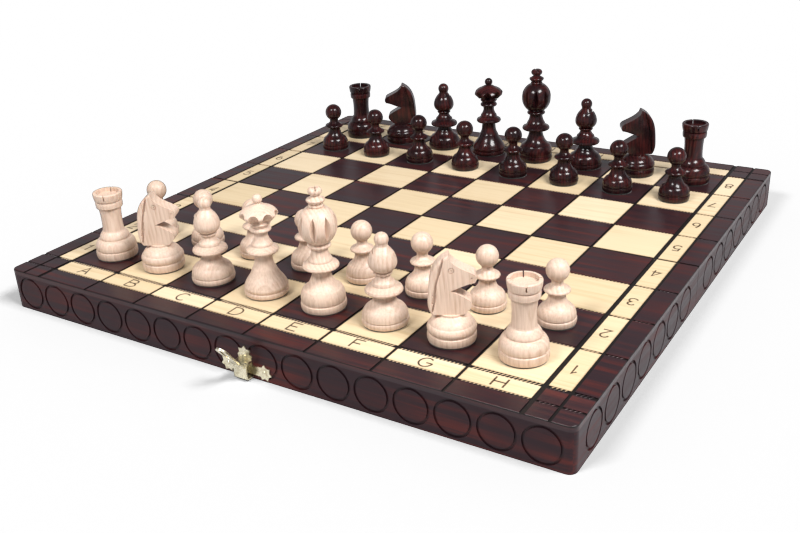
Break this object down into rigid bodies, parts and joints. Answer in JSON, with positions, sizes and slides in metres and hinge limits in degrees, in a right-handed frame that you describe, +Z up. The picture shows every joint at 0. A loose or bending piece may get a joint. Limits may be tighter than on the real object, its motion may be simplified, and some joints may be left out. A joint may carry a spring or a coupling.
{
  "type": "chess set with board",
  "caption": "Folding wooden chess box, shown open as its board, with rings carved in its rails, a brass hasp and turned chessmen in their starting places.",
  "frame": {"origin": "middle of the open board, in the plane of the rims that it rests on", "axes": "+X from file a to file h, +Y from White's side to Black's side, +Z up"},
  "size_m": [0.35, 0.3762, 0.091],
  "materials": {
    "board_top": "stained dark squares and natural cream squares under satin lacquer, burned lines",
    "rail_stain": "dark mahogany stain under glossy lacquer",
    "white_men": "pale natural wood, satin",
    "black_men": "dark red-brown stain under glossy lacquer",
    "brass": "pale stamped brass",
    "steel": "plain pins and screws",
    "felt": "thin dark felt under the chessmen"
  },
  "bodies": {
    "near_half": {"near_top_panel": "board_top", "near_front_rail": "rail_stain", "near_left_rail": "rail_stain", "near_right_rail": "rail_stain", "near_fold_rail": "rail_stain", "near_hinge_screws": "steel", "left_hinge_near_leaf": "brass", "right_hinge_near_leaf": "brass", "left_hinge_pin": "steel", "right_hinge_pin": "steel", "hasp_plate": "brass", "hasp_pin": "steel", "hasp_nails": "brass"},
    "far_half": {"far_top_panel": "board_top", "far_back_rail": "rail_stain", "far_left_rail": "rail_stain", "far_right_rail": "rail_stain", "far_fold_rail": "rail_stain", "far_hinge_screws": "steel", "left_hinge_far_leaf": "brass", "right_hinge_far_leaf": "brass", "catch_plate": "brass", "catch_nails": "brass"},
    "hasp": {"hasp_loop": "brass"},
    "white_rook_a1": {"white_rook_a1": "white_men"},
    "white_pawn_a2": {"white_pawn_a2": "white_men"},
    "white_knight_b1": {"white_knight_b1_base": "white_men", "white_knight_b1_head": "white_men"},
    "white_pawn_b2": {"white_pawn_b2": "white_men"},
    "white_bishop_c1": {"white_bishop_c1": "white_men"},
    "white_pawn_c2": {"white_pawn_c2": "white_men"},
    "white_queen_d1": {"white_queen_d1": "white_men"},
    "white_pawn_d2": {"white_pawn_d2": "white_men"},
    "white_king_e1": {"white_king_e1": "white_men"},
    "white_pawn_e2": {"white_pawn_e2": "white_men"},
    "white_bishop_f1": {"white_bishop_f1": "white_men"},
    "white_pawn_f2": {"white_pawn_f2": "white_men"},
    "white_knight_g1": {"white_knight_g1_base": "white_men", "white_knight_g1_head": "white_men"},
    "white_pawn_g2": {"white_pawn_g2": "white_men"},
    "white_rook_h1": {"white_rook_h1": "white_men"},
    "white_pawn_h2": {"white_pawn_h2": "white_men"},
    "black_rook_a8": {"black_rook_a8": "black_men"},
    "black_pawn_a7": {"black_pawn_a7": "black_men"},
    "black_knight_b8": {"black_knight_b8_base": "black_men", "black_knight_b8_head": "black_men"},
    "black_pawn_b7": {"black_pawn_b7": "black_men"},
    "black_bishop_c8": {"black_bishop_c8": "black_men"},
    "black_pawn_c7": {"black_pawn_c7": "black_men"},
    "black_queen_d8": {"black_queen_d8": "black_men"},
    "black_pawn_d7": {"black_pawn_d7": "black_men"},
    "black_king_e8": {"black_king_e8": "black_men"},
    "black_pawn_e7": {"black_pawn_e7": "black_men"},
    "black_bishop_f8": {"black_bishop_f8": "black_men"},
    "black_pawn_f7": {"black_pawn_f7": "black_men"},
    "black_knight_g8": {"black_knight_g8_base": "black_men", "black_knight_g8_head": "black_men"},
    "black_pawn_g7": {"black_pawn_g7": "black_men"},
    "black_rook_h8": {"black_rook_h8": "black_men"},
    "black_pawn_h7": {"black_pawn_h7": "black_men"}
  },
  "joints": [
    {"name": "board_fold", "type": "hinge", "parent": "near_half", "child": "far_half", "pos_m": [0, 0, -0.00015], "axis": [-1, 0, 0], "range_deg": [0, 180]},
    {"name": "hasp_swing", "type": "hinge", "parent": "near_half", "child": "hasp", "pos_m": [0, -0.1811, 0.0097], "axis": [1, 0, 0], "range_deg": [-38, 142]},
    {"name": "lift_white_rook_a1", "type": "slide", "parent": "near_half", "child": "white_rook_a1", "axis": [0, 0, 1], "range_m": [0, 0.12]},
    {"name": "lift_white_pawn_a2", "type": "slide", "parent": "near_half", "child": "white_pawn_a2", "axis": [0, 0, 1], "range_m": [0, 0.12]},
    {"name": "lift_white_knight_b1", "type": "slide", "parent": "near_half", "child": "white_knight_b1", "axis": [0, 0, 1], "range_m": [0, 0.12]},
    {"name": "lift_white_pawn_b2", "type": "slide", "parent": "near_half", "child": "white_pawn_b2", "axis": [0, 0, 1], "range_m": [0, 0.12]},
    {"name": "lift_white_bishop_c1", "type": "slide", "parent": "near_half", "child": "white_bishop_c1", "axis": [0, 0, 1], "range_m": [0, 0.12]},
    {"name": "lift_white_pawn_c2", "type": "slide", "parent": "near_half", "child": "white_pawn_c2", "axis": [0, 0, 1], "range_m": [0, 0.12]},
    {"name": "lift_white_queen_d1", "type": "slide", "parent": "near_half", "child": "white_queen_d1", "axis": [0, 0, 1], "range_m": [0, 0.12]},
    {"name": "lift_white_pawn_d2", "type": "slide", "parent": "near_half", "child": "white_pawn_d2", "axis": [0, 0, 1], "range_m": [0, 0.12]},
    {"name": "lift_white_king_e1", "type": "slide", "parent": "near_half", "child": "white_king_e1", "axis": [0, 0, 1], "range_m": [0, 0.12]},
    {"name": "lift_white_pawn_e2", "type": "slide", "parent": "near_half", "child": "white_pawn_e2", "axis": [0, 0, 1], "range_m": [0, 0.12]},
    {"name": "lift_white_bishop_f1", "type": "slide", "parent": "near_half", "child": "white_bishop_f1", "axis": [0, 0, 1], "range_m": [0, 0.12]},
    {"name": "lift_white_pawn_f2", "type": "slide", "parent": "near_half", "child": "white_pawn_f2", "axis": [0, 0, 1], "range_m": [0, 0.12]},
    {"name": "lift_white_knight_g1", "type": "slide", "parent": "near_half", "child": "white_knight_g1", "axis": [0, 0, 1], "range_m": [0, 0.12]},
    {"name": "lift_white_pawn_g2", "type": "slide", "parent": "near_half", "child": "white_pawn_g2", "axis": [0, 0, 1], "range_m": [0, 0.12]},
    {"name": "lift_white_rook_h1", "type": "slide", "parent": "near_half", "child": "white_rook_h1", "axis": [0, 0, 1], "range_m": [0, 0.12]},
    {"name": "lift_white_pawn_h2", "type": "slide", "parent": "near_half", "child": "white_pawn_h2", "axis": [0, 0, 1], "range_m": [0, 0.12]},
    {"name": "lift_black_rook_a8", "type": "slide", "parent": "far_half", "child": "black_rook_a8", "axis": [0, 0, 1], "range_m": [0, 0.12]},
    {"name": "lift_black_pawn_a7", "type": "slide", "parent": "far_half", "child": "black_pawn_a7", "axis": [0, 0, 1], "range_m": [0, 0.12]},
    {"name": "lift_black_knight_b8", "type": "slide", "parent": "far_half", "child": "black_knight_b8", "axis": [0, 0, 1], "range_m": [0, 0.12]},
    {"name": "lift_black_pawn_b7", "type": "slide", "parent": "far_half", "child": "black_pawn_b7", "axis": [0, 0, 1], "range_m": [0, 0.12]},
    {"name": "lift_black_bishop_c8", "type": "slide", "parent": "far_half", "child": "black_bishop_c8", "axis": [0, 0, 1], "range_m": [0, 0.12]},
    {"name": "lift_black_pawn_c7", "type": "slide", "parent": "far_half", "child": "black_pawn_c7", "axis": [0, 0, 1], "range_m": [0, 0.12]},
    {"name": "lift_black_queen_d8", "type": "slide", "parent": "far_half", "child": "black_queen_d8", "axis": [0, 0, 1], "range_m": [0, 0.12]},
    {"name": "lift_black_pawn_d7", "type": "slide", "parent": "far_half", "child": "black_pawn_d7", "axis": [0, 0, 1], "range_m": [0, 0.12]},
    {"name": "lift_black_king_e8", "type": "slide", "parent": "far_half", "child": "black_king_e8", "axis": [0, 0, 1], "range_m": [0, 0.12]},
    {"name": "lift_black_pawn_e7", "type": "slide", "parent": "far_half", "child": "black_pawn_e7", "axis": [0, 0, 1], "range_m": [0, 0.12]},
    {"name": "lift_black_bishop_f8", "type": "slide", "parent": "far_half", "child": "black_bishop_f8", "axis": [0, 0, 1], "range_m": [0, 0.12]},
    {"name": "lift_black_pawn_f7", "type": "slide", "parent": "far_half", "child": "black_pawn_f7", "axis": [0, 0, 1], "range_m": [0, 0.12]},
    {"name": "lift_black_knight_g8", "type": "slide", "parent": "far_half", "child": "black_knight_g8", "axis": [0, 0, 1], "range_m": [0, 0.12]},
    {"name": "lift_black_pawn_g7", "type": "slide", "parent": "far_half", "child": "black_pawn_g7", "axis": [0, 0, 1], "range_m": [0, 0.12]},
    {"name": "lift_black_rook_h8", "type": "slide", "parent": "far_half", "child": "black_rook_h8", "axis": [0, 0, 1], "range_m": [0, 0.12]},
    {"name": "lift_black_pawn_h7", "type": "slide", "parent": "far_half", "child": "black_pawn_h7", "axis": [0, 0, 1], "range_m": [0, 0.12]}
  ]
}
